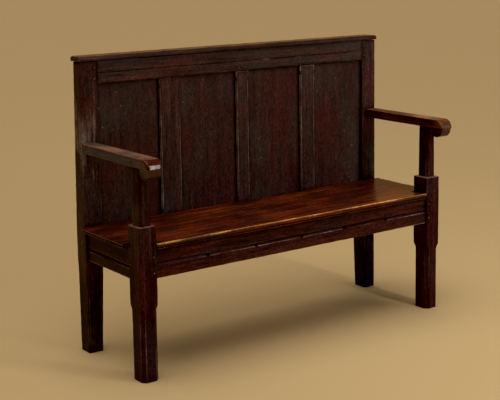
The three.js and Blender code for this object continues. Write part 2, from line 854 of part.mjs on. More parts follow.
const sidePegHeight = (sideRailLow + railTop) / 2;
addPegPair(
  'peg_side_rail_front',
  [outerX, frontPostDepth - pegInset, sidePegHeight],
  'x',
  1,
  sidePegLength,
  ['front_post_*', 'side_seat_rail_*'],
);
addPegPair(
  'peg_side_rail_rear',
  [outerX, rearFaceY + pegInset, sidePegHeight],
  'x',
  1,
  sidePegLength,
  ['rear_post_*', 'side_seat_rail_*'],
);
addPegPair(
  'peg_arm_front',
  [armOuterX, supportCentre[1], supportTop + supportTenonLength / 2],
  'x',
  1,
  armPegLength,
  ['arm_*', 'front_post_*'],
);
addPegPair(
  'peg_arm_rear',
  [outerX, rearFaceY + pegInset, armTenonCentre[1]],
  'x',
  1,
  armPegLength,
  ['rear_post_*', 'arm_*'],
);
const seatPegX = frontInnerX * seatPegShare;
const seatPegY = frontRailSetBack + railThickness / 2;
const seatPegDip = dishAt(seatPegX, (seatPegY - seatFrontY) / (seatBackY - seatFrontY));
addPegPair(
  'peg_seat',
  [seatPegX, seatPegY, seatHeight - seatPegDip],
  'z',
  -1,
  seatPegLength,
  ['seat_board', 'front_seat_rail'],
);

muntinSpans.forEach(([x0, x1], i) => {
  const reach = (x1 - x0) * muntinPegShare;
  [-reach, reach].forEach((offset, j) => {
    const head = [(x0 + x1) / 2 + offset, frameFaceY, topRailLow + muntinPegRise];
    const name = `peg_muntin_${i + 1}_${j + 1}`;
    addPeg(name, head, 'y', 1, muntinPegLength, ['top_rail', `muntin_${i + 1}`]);
  });
});

bearerPegShares.forEach((share, i) => {
  const head = [rearInnerX * share, frameFaceY - fitGap - bearerWidth, railTop - bearerHeight / 2];
  addPegPair(`peg_bearer_${i + 1}`, head, 'y', 1, bearerPegLength, ['seat_bearer', 'rear_seat_rail']);
});

function shifted(head, axis, by) {
  return head.map((value, i) => (axes[i] === axis ? value + by : value));
}

function pegHole({ head, axis, into, length }) {
  const depth = length - pegProud + endGap + overrun;
  const centre = shifted(head, axis, into * (depth / 2 - overrun));
  return round(axis, centre, pegDiameter / 2 + fitGap, depth, pegSides);
}

for (const peg of pegs) {
  for (const name of peg.through) {
    const piece = pieces.get(name);
    piece.solid = piece.solid.subtract(pegHole(peg));
  }
}

// The finished bench, with its origin on the floor at the middle of its length and depth
const group = new THREE.Group();
group.position.y = (noseReach - settleDepth) / 2;

for (const [name, { solid, material }] of pieces) {
  const mesh = new THREE.Mesh(geometryOf(solid), material);
  mesh.name = name;
  group.add(mesh);
}

for (const { name, head, axis, into, length } of pegs) {
  const geometry = new THREE.CylinderGeometry(pegDiameter / 2, pegDiameter / 2, length, pegSides);
  turnAlong(geometry, axis);
  const mesh = new THREE.Mesh(geometry, pegOak);
  mesh.name = name;
  mesh.position.set(...shifted(head, axis, into * (length / 2 - pegProud)));
  group.add(mesh);
}

export default group;
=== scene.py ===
# %% [markdown]
# # A panelled settle bench of dark oak
#
# The bench is framed and pegged like the old work it copies: square posts, rails tenoned into
# them, a back of four panels between muntins, a board seat and two arms with scrolled ends.
# The construction is already solid when this lesson starts. Each timber comes from the packed
# frame at its real size, with its tenons, grooves and stopped chamfers. What Blender adds is age:
# softened arrises, a hand-planed skin, worn edges, wax, dust and the figure of the oak, and with
# them some shade, sheen and highlights that are painted into the colour.

# %% Load the imported bench
import json
import math

import bmesh
import bpy
from mathutils import Matrix, Vector, kdtree, noise
from mathutils.bvhtree import BVHTree


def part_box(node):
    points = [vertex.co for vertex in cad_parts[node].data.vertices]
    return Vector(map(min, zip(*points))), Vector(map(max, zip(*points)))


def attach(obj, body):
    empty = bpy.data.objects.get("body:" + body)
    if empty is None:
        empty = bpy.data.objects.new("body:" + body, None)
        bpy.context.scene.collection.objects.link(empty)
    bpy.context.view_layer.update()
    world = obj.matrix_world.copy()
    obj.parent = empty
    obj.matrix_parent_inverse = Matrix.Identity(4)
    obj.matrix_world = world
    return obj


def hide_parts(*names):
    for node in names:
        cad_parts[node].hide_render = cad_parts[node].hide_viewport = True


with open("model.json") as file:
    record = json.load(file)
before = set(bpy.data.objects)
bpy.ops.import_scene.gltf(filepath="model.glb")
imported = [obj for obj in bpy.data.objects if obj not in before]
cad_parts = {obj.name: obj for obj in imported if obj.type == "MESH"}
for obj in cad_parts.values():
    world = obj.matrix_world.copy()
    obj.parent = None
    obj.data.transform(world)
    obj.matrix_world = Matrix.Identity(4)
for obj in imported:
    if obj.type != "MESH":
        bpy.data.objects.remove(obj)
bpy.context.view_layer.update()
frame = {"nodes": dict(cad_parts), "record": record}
solids = frame["nodes"]
slots = {part["node"]: part["material_slot"] for part in frame["record"]["subparts"]}
collection = bpy.context.scene.collection

mm = 0.001
X, Y, Z = 0, 1, 2

# %% [markdown]
# ## The camera
#
# The photograph was taken from the left of the bench, a little above the arms, with a long lens.
# A camera can be placed by eye, but here its place and angles were worked out from the straight
# edges of the bench, which leaves nothing to chance. The upright lines stay nearly upright although
# the camera looks down, because the picture was cut off-centre. A vertical shift of the lens gives
# the same framing without tilting the posts.

# %% Place the camera
camera_place = Vector((-2.4506, -3.2861, 1.380))
camera_heading = math.radians(35.67)  # away from square-on, towards the bench's right end
camera_tilt = math.radians(-8.64)
camera_roll = math.radians(-0.93)
sensor_width = 36
lens_length = 83.48
lens_shift = -0.1492

lens = bpy.data.cameras.new("lens")
lens.sensor_width = sensor_width
lens.lens = lens_length
lens.shift_y = lens_shift
camera = bpy.data.objects.new("camera", lens)
collection.objects.link(camera)
turned = Matrix.Rotation(-camera_heading, 4, "Z")
tilted = Matrix.Rotation(math.pi / 2 + camera_tilt, 4, "X")
rolled = Matrix.Rotation(camera_roll, 4, "Z")
camera.matrix_world = Matrix.Translation(camera_place) @ turned @ tilted @ rolled
bpy.context.scene.camera = camera
print("camera", round(camera_place.to_2d().length, 2), "m from the bench")

# %% [markdown]
# ## Colours and nodes
#
# Colours are written as they are seen, as sRGB hex values, and one function turns them into the
# linear light that Blender calculates with. A second small function adds a node to any tree, so
# that a finish can be read from top to bottom like a recipe.

# %% Two helpers for colours and nodes
SRGB_KNEE, SRGB_SLOPE = 0.04045, 12.92  # the sRGB standard's straight part, for dark tones
SRGB_LIFT, SRGB_POWER = 0.055, 2.4  # and its curve, for all others
MIX_A, MIX_B, MIX_COLOUR = 6, 7, 2  # sockets of the Mix node when it mixes colours


def linear(hex_colour):
    """Blender's linear colour for an sRGB hex value."""
    light = []
    for first in (1, 3, 5):
        seen = int(hex_colour[first : first + 2], 16) / 255
        curved = ((seen + SRGB_LIFT) / (1 + SRGB_LIFT)) ** SRGB_POWER
        light.append(seen / SRGB_SLOPE if seen <= SRGB_KNEE else curved)
    return (*light, 1)


def add(tree, kind, inputs=None, stops=None, **settings):
    """Adds a node, applies its settings and its colour stops, then fills or links its inputs."""
    made = tree.nodes.new(kind)
    for name, value in settings.items():
        setattr(made, name, value)
    for i, (place, colour) in enumerate(stops or []):
        if i > 1:
            made.color_ramp.elements.new(place)
        made.color_ramp.elements[i].position = place
        made.color_ramp.elements[i].color = colour
    for key, value in (inputs or {}).items():
        if isinstance(value, bpy.types.NodeSocket):
            tree.links.new(value, made.inputs[key])
        else:
            made.inputs[key].default_value = value
    return made


print("the grey #808080 is", round(linear("#808080")[0], 3), "of full light")

# %% [markdown]
# ## Floor, lamps and room
#
# Dark waxed oak is mostly seen by what it reflects, so what stands around the bench matters as much
# as the lamps do. Soft lamps on all sides are the usual studio, but they turn old oak grey. This
# room has three parts instead: a bright ceiling that lights the floor evenly, a warm wall on the
# side that the camera looks at, and darkness behind the camera. Faces that look up catch the
# ceiling and the wall, and the faces that look at the camera stay deep. The ceiling's middle leans
# a little to the left, so that the mouldings don't mirror it.
#
# The lamp overhead is broad and weak, and softens the shadows. The other two stand on the right,
# tall and narrow. The rounded end of an arm lies level, so it mirrors one strip of the room, which
# runs from low to high. A tall narrow lamp in that strip puts the highlight on the arm and lights
# little else. The camera sees the two ends at different angles, so each arm has its own lamp.

# %% Lay the floor
floor_half = 40  # metres, so that no view reaches its edge
floor_rough = 0.9  # matt, so it takes soft shadows and mirrors nothing
floor_tone = "#c9ac7a"

floor_mesh = bpy.data.meshes.new("floor")
floor_corners = [(-floor_half, -floor_half, 0), (floor_half, -floor_half, 0)]
floor_corners += [(floor_half, floor_half, 0), (-floor_half, floor_half, 0)]
floor_mesh.from_pydata(floor_corners, [], [(0, 1, 2, 3)])
floor = bpy.data.objects.new("floor", floor_mesh)
collection.objects.link(floor)

floor_finish = bpy.data.materials.new("plain_floor")
floor_finish.use_nodes = True
floor_shader = floor_finish.node_tree.nodes["Principled BSDF"]
floor_shader.inputs["Base Color"].default_value = linear(floor_tone)
floor_shader.inputs["Roughness"].default_value = floor_rough
floor_mesh.materials.append(floor_finish)
print("floor", 2 * floor_half, "m wide")

# %% Hang the lamps
lamp_tone = "#fffaf3"
lamps = {
    # name: place, the spot it faces, width and height in metres, power in watts
    "overhead_lamp": ((-0.7, -1.4, 3.6), (0, 0, 0.5), (2.4, 2.4), 10),
    "right_lamp": ((0.78, -2.38, 1.85), (0.78, -0.25, 0.72), (0.16, 2.0), 23),  # for the left arm
    "far_lamp": ((2.65, -2.22, 1.2), (2.65, -0.25, 0.72), (0.3, 1.4), 10),  # for the right arm
}

for name, (place, faces, (width, height), watts) in lamps.items():
    light = bpy.data.lights.new(name, "AREA")
    light.shape = "RECTANGLE"
    light.size = width
    light.size_y = height
    light.energy = watts
    light.color = linear(lamp_tone)[:3]
    lamp = bpy.data.objects.new(name, light)
    lamp.location = place
    lamp.rotation_euler = (Vector(faces) - lamp.location).to_track_quat("-Z", "Y").to_euler()
    collection.objects.link(lamp)
    print(name, watts, "W")

# %% Light the room
dark_tone = "#1c1510"
to_wall = (math.sin(camera_heading), math.cos(camera_heading), 0)
room_parts = {
    # name: direction of its middle, tone, brightness, cosines of the angle from its middle
    # between which it fades in
    "wall": (to_wall, "#ba8c56", 0.8, (0.6, 0.92)),
    "ceiling": ((-0.12, 0, 0.99), "#fff8ee", 2.75, (0.8, 0.95)),
}

room = bpy.data.worlds.new("room")
room.use_nodes = True
bpy.context.scene.world = room
air = room.node_tree
direction = add(air, "ShaderNodeTexCoord").outputs["Generated"]
room_tone = linear(dark_tone)
for toward, tone, glow, (dark_at, full_at) in room_parts.values():
    facing = add(air, "ShaderNodeVectorMath", {0: direction, 1: toward}, operation="DOT_PRODUCT")
    amount = add(
        air,
        "ShaderNodeMapRange",
        {"Value": facing.outputs["Value"], "From Min": dark_at, "From Max": full_at},
    )
    room_tone = add(
        air,
        "ShaderNodeMix",
        {0: amount.outputs[0], MIX_A: room_tone, MIX_B: [c * glow for c in linear(tone)]},
        data_type="RGBA",
    ).outputs[MIX_COLOUR]
air.links.new(room_tone, air.nodes["Background"].inputs["Color"])
print("the room:", ", ".join(room_parts), "and darkness")

# %% Print the picture with deep blacks
black_level = 0.003  # light as weak as this prints black, as it does on a photograph

view_settings = bpy.context.scene.view_settings
view_settings.view_transform = "Standard"
view_settings.use_curve_mapping = True
view_settings.curve_mapping.black_level = (black_level, black_level, black_level)
print("black level", black_level)

# %% [markdown]
# ## Old waxed oak
#
# The wood is oak, some centuries old: stained almost black by smoke and wax, redder where the
# polish has gone in, lighter where hands, backs and skirts have rubbed it. Photographs of old oak
# could be laid on the boards, but they repeat and they stop at every edge. Noise fills a board as
# the wood does, so the figure on a face runs on over the edge and down the side.
#
# Six layers of noise are drawn out along the grain, each from a real size. Figure is the broad
# pattern of the growth rings, streaks and fibres are its finer lines, and flecks are pores and
# rays. Bloom is the cloudy unevenness of old wax, and knocks are small dents. The noise has a
# fourth dimension, a number that differs from timber to timber, so that no two boards share one
# figure.

# %% Layers of the grain
grain_layers = {
    # name: length and width of one mark in millimetres, octaves of detail
    "figure": (380, 26, 3),
    "streak": (150, 9, 3),
    "fibre": (60, 4, 2),  # real fibres are finer than a pixel, so they are drawn coarser
    "fleck": (9, 6, 2),  # and so are real pores
    "bloom": (170, 110, 4),
    "knock": (26, 18, 2),
}
grain_turns = {
    # the grain's axis: the turn that lays the marks along it
    X: (0, 0, 0),
    Y: (0, 0, math.pi / 2),
    Z: (0, math.pi / 2, 0),
}


def grain_of(tree, spot, timber, grain):
    """The layers of a timber with its grain along one axis."""
    layers = {}
    for name, (length, width, detail) in grain_layers.items():
        mark_size = Vector((length, width, width)) * mm
        laid = add(
            tree,
            "ShaderNodeMapping",
            {"Vector": spot, "Rotation": grain_turns[grain], "Scale": mark_size},
            vector_type="TEXTURE",
        )
        layers[name] = add(
            tree,
            "ShaderNodeTexNoise",
            {"Vector": laid.outputs[0], "W": timber, "Scale": 1, "Detail": detail},
            noise_dimensions="4D",
        ).outputs["Fac"]
    return layers


def added_up(tree, layers, shares):
    """The sum of some layers, each times its share."""
    total = 0
    for name, share in shares.items():
        total = add(
            tree,
            "ShaderNodeMath",
            {0: layers[name], 1: share, 2: total},
            operation="MULTIPLY_ADD",
        ).outputs[0]
    return total


print(len(grain_layers), "layers, the figure's marks", grain_layers["figure"][0], "mm long")

# %% [markdown]
# Age lies over the wood in patches. They could be painted, but then each would belong to one board.
# Here the layers say where the wax has gone dull or red, and marks that later cells store on the
# mesh say where the timber was used and where light and shade are painted on. One mark is 1 where
# the stain has worn off, and also where a pale highlight is painted on the shoulders of the front
# blocks and a reflection of the wall on the cap's top. Another is 1 where dirt collects in hollows
# and joints, and also where shade is painted: in grooves and holes, beside the next timber, low on
# the rear legs and under the scrolls. A third is 1 where use has polished it, and also where a
# highlight is painted along the seat's front edge and a sheen on the left block and the stiles. A
# mark alone would fade as evenly as a shadow, so a layer of noise breaks it up.

# %% Patches of age
mark_kinds = ("timber", "bare_and_highlight", "grime_and_shade", "rub")
rub_and_sheen_shares = {"streak": 0.8, "rub": 1}
bare_and_highlight_shares = {"bloom": 1.6, "bare_and_highlight": 1}
patches = {
    # name: what it is read from, where it begins and is complete, how weak and strong it is there
    "flecked": ("fleck", (0.3, 0.7), (0.55, 1.6)),  # how much light the flecks leave the colour
    "dull": ("bloom", (0.48, 0.66), (0, 0.8)),  # where old wax has gone cloudy
    "flushed": ("bloom", (0.5, 0.36), (0, 0.5)),  # where clear wax shows the red of the stain
    # dents keep the dirt and the painted shade alike
    "caught": ("knock", (0.3, 0.7), (0.6, 1)),  # how much of the dirt stays in small dents
    # polish also paints a highlight on the seat's edge and a sheen on the posts
    "rubbed": ("handled_and_sheen", (0.7, 1.3), (0, 0.9)),  # where use has polished it, some streaks first
    # bared wood also paints highlights on the blocks and the wall's reflection on the cap
    "bared_and_highlight": ("uneven", (1.6, 2), (0, 0.85)),  # where the stain is off
}


def patches_of(tree, layers):
    """The patches of a timber: how strong each is at a spot."""
    known = dict(layers)
    known["handled_and_sheen"] = added_up(tree, layers, rub_and_sheen_shares)
    known["uneven"] = added_up(tree, layers, bare_and_highlight_shares)
    found = {}
    for name, (source, (begins, complete), (weak, strong)) in patches.items():
        found[name] = add(
            tree,
            "ShaderNodeMapRange",
            {
                "Value": known[source],
                "From Min": begins,
                "From Max": complete,
                "To Min": weak,
                "To Max": strong,
            },
        ).outputs[0]
    return found


print(len(patches), "kinds of patch")

# %% [markdown]
# Pale specks are the splashes and small scars of a long life, and they gather where the wax is
# dull. Small spheres could be scattered on the boards, but a speck has no height. A texture that
# divides the surface into cells gives them instead: one cell in five holds a round speck.

# %% Pale specks
# real specks are a millimetre or two, less than a pixel, so they are drawn larger
speck_spacing = 15 * mm
speckless_share = 0.8  # of the cells
speck_shares = (0.1, 0.24)  # of the spacing: where a speck begins to fade and where it ends


def specks_of(tree, spot, dull, strength):
    """How clearly a pale speck shows at a spot."""
    cells = add(tree, "ShaderNodeTexVoronoi", {"Vector": spot, "Scale": 1 / speck_spacing})
    shown = add(
        tree,
        "ShaderNodeMath",
        {0: cells.outputs["Color"], 1: speckless_share},
        operation="GREATER_THAN",
    )
    for factor in (dull, strength):
        shown = add(
            tree,
            "ShaderNodeMath",
            {0: shown.outputs[0], 1: factor},
            operation="MULTIPLY",
        )
    return add(
        tree,
        "ShaderNodeMapRange",
        {
            "Value": cells.outputs["Distance"],
            "From Min": speck_shares[0],
            "From Max": speck_shares[1],
            "To Min": shown.outputs[0],
            "To Max": 0,
        },
    ).outputs[0]


print("a speck fades out", round(speck_shares[1] * speck_spacing / mm, 1), "mm from its middle")

# %% [markdown]
# One recipe mixes every finish, because all the timbers are the same oak and only their lives
# differ. The colour starts as wood, and the coats of age lie on it in the order in which they came.
# The coats of dirt, polish and bared wood also paint shade, sheen and highlights.

# %% Lay the coats of age on the wood
wood_shares = {"figure": 0.38, "streak": 0.34, "fibre": 0.28}
noise_middle = 0.5


def colour_of(tree, spot, layers, patch, look):
    """The colour of a look at a spot."""
    dark, middle, light = [linear(tone) for tone in look["tones"]]
    low, high = noise_middle - look["contrast"], noise_middle + look["contrast"]
    colour = add(
        tree,
        "ShaderNodeValToRGB",
        {"Fac": added_up(tree, layers, wood_shares)},
        stops=[(low, dark), (noise_middle, middle), (high, light)],
    ).outputs["Color"]
    dirt_and_shade = add(
        tree,
        "ShaderNodeMath",
        {0: layers["grime_and_shade"], 1: patch["caught"]},
        operation="MULTIPLY",
    )
    # dirt also paints shade here, polish a sheen and highlights, and bared wood highlights
    coats = (
        (patch["flushed"], "flush"),
        (patch["dull"], "bloom"),
        (dirt_and_shade.outputs[0], "grime_and_shade"),
        (patch["rubbed"], "worn_and_sheen"),
        (patch["bared_and_highlight"], "bare_and_highlight"),
        (specks_of(tree, spot, patch["dull"], look["specks"]), "bare_and_highlight"),
    )
    for amount, coat in coats:
        colour = add(
            tree,
            "ShaderNodeMix",
            {0: amount, MIX_A: colour, MIX_B: linear(look[coat])},
            data_type="RGBA",
        ).outputs[MIX_COLOUR]
    lit = add(tree, "ShaderNodeHueSaturation", {"Color": colour, "Value": patch["flecked"]})
    return lit.outputs[0]


# %% [markdown]
# The gloss follows the streaks, and it is highest where the wood was handled. Fibres, flecks and
# knocks are too fine for the mesh, so a bump node gives their relief.

# %% Gloss and relief
streak_gloss = (0.35, 0.65)  # the streaks between which wood goes from polished to dull
rub_gloss = (0.3, 0.8)  # the marks of rubbing between which hands polish it
hand_gloss = 0.1  # roughness where hands have polished the wood longest
relief_shares = {"fibre": 0.5, "fleck": 0.5, "knock": 1.6}
relief_depth = 0.9 * mm


def roughness_of(tree, layers, look):
    """The roughness of a look at a spot."""
    rough = add(
        tree,
        "ShaderNodeMapRange",
        {
            "Value": layers["streak"],
            "From Min": streak_gloss[0],
            "From Max": streak_gloss[1],
            "To Min": look["gloss"][0],
            "To Max": look["gloss"][1],
        },
    )
    smoothed = add(
        tree,
        "ShaderNodeMapRange",
        {
            "Value": layers["rub"],
            "From Min": rub_gloss[0],
            "From Max": rub_gloss[1],
            "To Min": rough.outputs[0],
            "To Max": hand_gloss,
        },
    )
    return smoothed.outputs[0]


def relief_of(tree, layers, look):
    """The relief of a look at a spot."""
    skin = added_up(tree, layers, relief_shares)
    bump = add(
        tree,
        "ShaderNodeBump",
        {"Height": skin, "Strength": look["relief"], "Distance": relief_depth},
    )
    return bump.outputs[0]


# %% Mix a finish
glass_ior = 1.5  # wax and varnish bend light like glass


def old_oak(name, grain, look):
    """Waxed old oak of one look, with its grain along one axis."""
    material = bpy.data.materials.new(name)
    material.use_nodes = True
    tree = material.node_tree
    shader = tree.nodes["Principled BSDF"]
    spot = add(tree, "ShaderNodeTexCoord").outputs["Object"]
    layers = {
        kind: add(tree, "ShaderNodeAttribute", attribute_name=kind).outputs["Fac"]
        for kind in mark_kinds
    }
    layers |= grain_of(tree, spot, layers["timber"], grain)
    patch = patches_of(tree, layers)
    tree.links.new(colour_of(tree, spot, layers, patch, look), shader.inputs["Base Color"])
    tree.links.new(roughness_of(tree, layers, look), shader.inputs["Roughness"])
    tree.links.new(relief_of(tree, layers, look), shader.inputs["Normal"])
    shader.inputs["IOR"].default_value = glass_ior
    shader.inputs["Specular IOR Level"].default_value = look["wax"]
    print("mixed", name, "with", len(tree.nodes), "nodes")
    return material


# %% [markdown]
# The recipe is given a look, a small table that says what life has made of the oak. One look for
# the whole bench would be simpler, but on the real one each part has had its own life: backs polish
# the panels, hands the arms and clothes the seat. Later cells write each look beside its timbers.
#
# In a look, "tones" are the darkest, middle and lightest wood, and "contrast" is how far from the
# middle the other two are reached. "flush" and "bloom" are the tones of red patches and dull
# patches, and three more tones give dirt and painted shade, rubbed places with painted sheen and
# highlights, and bared wood with painted highlights. "gloss" is the roughness where the wood is
# polished and where it is dull, "wax" is how strongly it reflects, "relief" is how clearly its
# grain stands out, and "specks" is how strongly pale specks show.

# %% Keep the looks and the finishes
looks_of = {}
axis_names = {X: "along", Y: "across", Z: "upright"}
finishes = {}


def finish_of(look, grain):
    """The finish of a look with its grain along one axis, mixed the first time it is wanted."""
    if (look, grain) not in finishes:
        name = f"{looks_of[look]['name']}_{axis_names[grain]}"
        finishes[look, grain] = old_oak(name, grain, looks_of[look])
    return finishes[look, grain]


# %% [markdown]
# ## From solid to timber
#
# A new board has sharp arrises and dead flat faces. An old one was planed by hand, so its faces
# ripple slightly, and its arrises have been knocked and rubbed for centuries. The solids of the
# frame could be sculpted by hand, but then the work couldn't be repeated. Here each copy is welded,
# its arrises are rounded, its faces are cut into a fine grid, and every point then sinks by a
# fraction of a millimetre that noise decides. Points only ever sink, so neighbours stay apart.

# %% Weld a copy of a solid and find its arrises
weld_reach = 0.01 * mm
flat_angle = math.radians(1)
arris_angle = math.radians(28)
arris_shortest = 11 * mm


def welded(solid):
    """A copy of a frame solid as one skin, with each flat face whole again."""
    skin = bmesh.new()
    skin.from_mesh(solid.data)
    bmesh.ops.remove_doubles(skin, verts=skin.verts, dist=weld_reach)
    bmesh.ops.dissolve_limit(skin, angle_limit=flat_angle, verts=skin.verts, edges=skin.edges)
    return skin


def sharp_edges(skin, stick_out):
    """The long sharp edges: those that stick out, which wear, or the hollow ones, which fill with
    dirt and painted shade.
    """
    found = []
    for edge in skin.edges:
        sharp = edge.is_manifold and edge.calc_face_angle() > arris_angle
        if sharp and edge.is_convex == stick_out and edge.calc_length() > arris_shortest:
            found.append(edge)
    return found


trial = welded(solids["arm_left"])
print("an arm has", len(sharp_edges(trial, stick_out=True)), "long arrises")

# %% Measure how near an edge and a neighbour are
edge_point_spacing = 1 * mm


def points_near(edges):
    """A search tree over points on the edges, which says how near an edge is."""
    points = []
    for edge in edges:
        start, end = [corner.co for corner in edge.verts]
        steps = max(1, math.ceil(edge.calc_length() / edge_point_spacing))
        points += [start.lerp(end, i / steps) for i in range(steps + 1)]
    tree = kdtree.KDTree(len(points))
    for i, point in enumerate(points):
        tree.insert(point, i)
    tree.balance()
    return tree


def closeness(tree, place, reach):
    """1 on the nearest edge of a search tree, 0 beyond the reach."""
    gap = tree.find(place)[2]
    return 0 if gap is None else max(0, 1 - gap / reach)


def neighbours_of(name):
    """A search tree over every other timber, which says how near the next one is."""
    corners, faces = [], []
    for other, solid in solids.items():
        if other != name and not other.startswith("peg_"):
            first = len(corners)
            corners += [corner.co for corner in solid.data.vertices]
            faces += [[first + i for i in face.vertices] for face in solid.data.polygons]
    return BVHTree.FromPolygons(corners, faces)


# %% Round the arrises and cut the faces into a fine grid
arris_round = 0.8 * mm
arris_steps = 2
arris_profile = 0.5  # part of a circle
grid_size = 14 * mm
grid_snap = 0.6 * mm
grid_cuts = 1  # at last each edge of the grid is cut once more


def unit(axis):
    """One step along an axis."""
    return Vector([1 if i == axis else 0 for i in (X, Y, Z)])


def soften(skin, arrises):
    """Rounds the arrises and makes the grid of the faces fine enough to ripple."""
    bmesh.ops.bevel(
        skin,
        geom=arrises,
        offset=arris_round,
        segments=arris_steps,
        profile=arris_profile,
        affect="EDGES",
    )
    for axis in (X, Y, Z):
        places = [corner.co[axis] for corner in skin.verts]
        low, high = min(places), max(places)
        count = max(1, round((high - low) / grid_size))
        for i in range(1, count):
            bmesh.ops.bisect_plane(
                skin,
                geom=skin.verts[:] + skin.edges[:] + skin.faces[:],
                dist=grid_snap,
                plane_co=unit(axis) * (low + (high - low) * i / count),
                plane_no=unit(axis),
            )
    bmesh.ops.subdivide_edges(skin, edges=skin.edges[:], cuts=grid_cuts, use_grid_fill=True)
    skin.normal_update()


coarse = len(trial.faces)
soften(trial, sharp_edges(trial, stick_out=True))
print("an arm goes from", coarse, "faces to", len(trial.faces))
trial.free()

# %% [markdown]
# Wear that comes from use lies round a line or a plane of the bench, such as the front edge of the
# seat, and so do the painted highlights and sheen. Such a spot could be painted on, but a distance
# is easier to move, and it is the same on both arms. Each such spot is four values: the depths or
# heights that it lies at, how far it reaches, how even it is, and how strong it is at most.

# %% Say how worn a place is
patch_length = 70 * mm
patch_middle = 0.5
patch_sharpness = 2.2


def clamped(value):
    """The value, kept between 0 and 1."""
    return min(1, max(0, value))


def marked_at(place, spot):
    """How strongly a spot marks a place, with wear or with painted light: most on the spot's
    line or plane, not at all beyond its reach.
    evenness: what the thinnest patches keep of it."""
    if spot is None:
        return 0
    middle, reach, evenness, most = spot
    gap = math.hypot(*[place[axis] - value for axis, value in middle.items()])
    patch = clamped(patch_middle + patch_sharpness * noise.noise(place / patch_length))
    return most * max(0, 1 - gap / reach) * (evenness + (1 - evenness) * patch)


print("worn and unworn patches take turns every", round(patch_length / mm), "mm or so")

# %% [markdown]
# Three kinds of wear sink the skin. The plane leaves long shallow scoops along the grain. Each
# board has also moved and worn on a larger scale, which shows as soft waves in its reflections.
# And the arrises have lost chips, mostly where they stick out.

# %% Sink and mark the skin
scoop_length = 90 * mm
scoop_width = 22 * mm
scoop_depth = 0.35 * mm
wave_length = 260 * mm
wave_width = 90 * mm
chip_length = 24 * mm
chip_depth = 1.8 * mm
arris_reach = 3.4 * mm
# dirt and painted shade reach the first distance from the next timber, the second from a hollow
# edge
grime_and_shade_reach = 14 * mm
hollow_reach = 5 * mm
noise_way = Vector((1, -1, 0.5))  # the direction in which the noise of the next timber lies


def rolling(place, grain, length, width, shift):
    """Noise from 0 to 1, in marks that are drawn out along the grain."""
    across = [axis for axis in (X, Y, Z) if axis != grain]
    marks = Vector((place[grain] / length, place[across[0]] / width, place[across[1]] / width))
    return (1 + noise.noise(marks + shift)) / 2


def wear_down(name, skin, number, grain, wave_depth, wear, rub, bare_and_highlight, dark_below):
    """Rounds, marks and sinks the skin of one timber."""
    arrises = sharp_edges(skin, stick_out=True)
    near_arris = points_near(arrises)
    near_hollow = points_near(sharp_edges(skin, stick_out=False))
    near_timber = neighbours_of(name)
    soften(skin, arrises)
    shift = noise_way * number
    marks = {kind: skin.verts.layers.float.new(kind) for kind in mark_kinds}
    sunk = []
    for corner in skin.verts:
        place = corner.co
        scoop = rolling(place, grain, scoop_length, scoop_width, shift)
        wave = rolling(place, grain, wave_length, wave_width, -shift)
        close = closeness(near_arris, place, arris_reach)
        chip = close * close * max(0, noise.noise(place / chip_length + shift))
        # dirt and painted shade beside the next timber, in hollows and low down
        gap = near_timber.find_nearest(place, grime_and_shade_reach)[3]
        touching = 0 if gap is None else 1 - gap / grime_and_shade_reach
        # below a given height the timber is painted darker, as dirt and as shade
        low = 0 if dark_below is None else clamped((dark_below[0] - place.z) / dark_below[1])
        corner[marks["timber"]] = number
        # bared arrises and bared spots, some of them painted highlights
        corner[marks["bare_and_highlight"]] = max(close * wear, marked_at(place, bare_and_highlight))
        corner[marks["grime_and_shade"]] = max(touching, low, closeness(near_hollow, place, hollow_reach))
        # polished spots, some with a painted sheen and some with a painted highlight
        corner[marks["rub"]] = marked_at(place, rub)
        depth = scoop * scoop_depth + wave * wave_depth + chip * chip_depth
        sunk.append(place - corner.normal * depth)
    for corner, place in zip(skin.verts, sunk):
        corner.co = place


# %% Age one timber
smooth_angle = math.radians(32)
timber_step = 7.3  # how far apart the noise of two timbers lies
timbers = []


def aged(name, grain, wave_depth, wear, rub=None, bare_and_highlight=None, look=None, dark_below=None):
    """Makes the aged timber that stands for one solid of the frame. wear: how far its arrises are
    knocked back to pale wood. The two spots after it say where it is polished and where its stain
    is gone, and they also place painted sheen and highlights. look: its look, where that isn't its
    slot's. dark_below: the height under which it is painted darker, as dirt and shade, and over how
    far."""
    number = (len(timbers) + 1) * timber_step
    skin = welded(solids[name])
    wear_down(name, skin, number, grain, wave_depth, wear, rub, bare_and_highlight, dark_below)

    mesh = bpy.data.meshes.new(f"aged_{name}")
    skin.to_mesh(mesh)
    skin.free()
    mesh.shade_smooth()
    mesh.set_sharp_from_angle(angle=smooth_angle)
    mesh.materials.append(finish_of(look or slots[name], grain))
    timber = bpy.data.objects.new(f"aged_{name}", mesh)
    collection.objects.link(timber)
    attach(timber, "root")
    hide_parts(name)
    timbers.append(timber)
    print(timber.name, len(mesh.polygons), "faces")


# %% [markdown]
# ## The posts
#
# Each front post is one timber: an eight-sided leg, a square block where the rails meet, and a
# slim support for the arm. The rear posts run from the floor to the cap and lean back above the
# seat. Posts take the hardest knocks, so their faces stay quite flat but their arrises are ragged.
# The flat shoulders of the blocks are worn bare, and their pale line is also a painted highlight.
# A haze of old wax lies on the left block and on the stiles beside the arms, and it also paints the
# grey sheen of these faces, strongest on the left. The rear legs are painted almost black under the
# rails, as dirt and as the shade under the seat. Painting would give all this too, but heights that
# are taken from the frame stay right if the bench changes.

